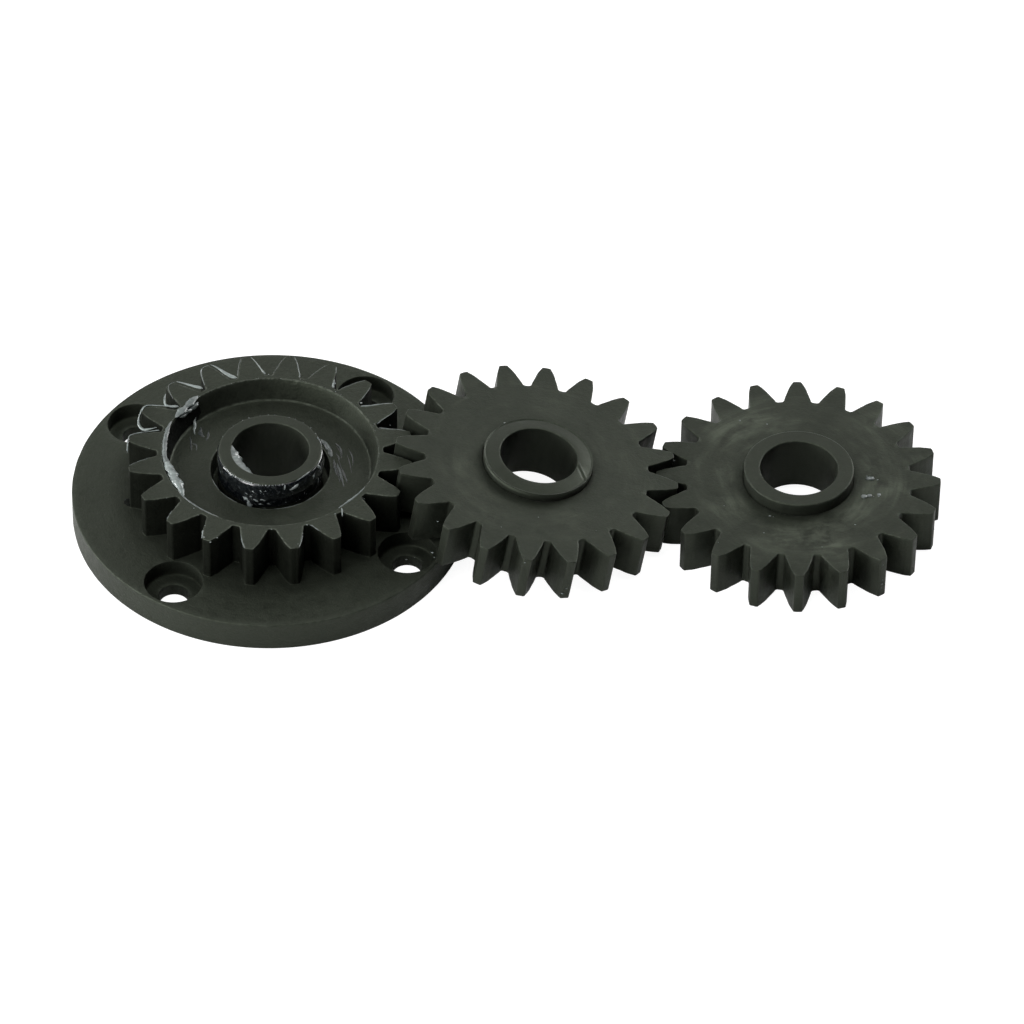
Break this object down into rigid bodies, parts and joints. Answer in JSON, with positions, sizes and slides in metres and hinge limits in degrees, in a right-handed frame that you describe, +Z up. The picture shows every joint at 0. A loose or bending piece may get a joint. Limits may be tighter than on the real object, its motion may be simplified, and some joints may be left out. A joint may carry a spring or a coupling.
{
  "type": "planetary gear set",
  "caption": "Plastic planetary gear set: a flanged sun gear, an idler gear and a planet gear, each on a plain bearing bush, in mesh in a row.",
  "frame": {"origin": "on the sun gear's axis, in the underside of its flange, at the centre of the screw hole circle", "axes": "+Z up along the sun axis, out of the flange's underside towards the teeth; +X from the sun gear towards the planet gear"},
  "size_m": [0.1342, 0.0614, 0.0144],
  "materials": {
    "gear_plastic": "black moulded plastic with a fine grain, satin on the faces and darker on the flanks",
    "bush_plastic": "black plain-bearing plastic, a little lighter and smoother than the gears",
    "grease": "thin smears of white bearing grease"
  },
  "bodies": {
    "sun": {"flange_gear": "gear_plastic"},
    "arm": {"sun_bush": "bush_plastic", "idler_bush": "bush_plastic", "planet_bush": "bush_plastic"},
    "idler": {"idler_gear": "gear_plastic"},
    "planet": {"planet_gear": "gear_plastic"}
  },
  "joints": [
    {"name": "arm_orbit", "type": "hinge", "parent": "sun", "child": "arm", "pos_m": [0, 0, 0], "axis": [0, 0, 1], "continuous": true},
    {"name": "idler_spin", "type": "hinge", "parent": "arm", "child": "idler", "pos_m": [0.04114, -0.0001, 0.0113], "axis": [0.1426, 0, 0.9898], "continuous": true},
    {"name": "planet_spin", "type": "hinge", "parent": "arm", "child": "planet", "pos_m": [0.0815, 0.00155, 0.00385], "axis": [0, 0, 1], "continuous": true}
  ],
  "couplings": [
    {"joint": "idler_spin", "follows": "arm_orbit", "ratio": 1},
    {"joint": "planet_spin", "follows": "arm_orbit", "ratio": -1}
  ]
}
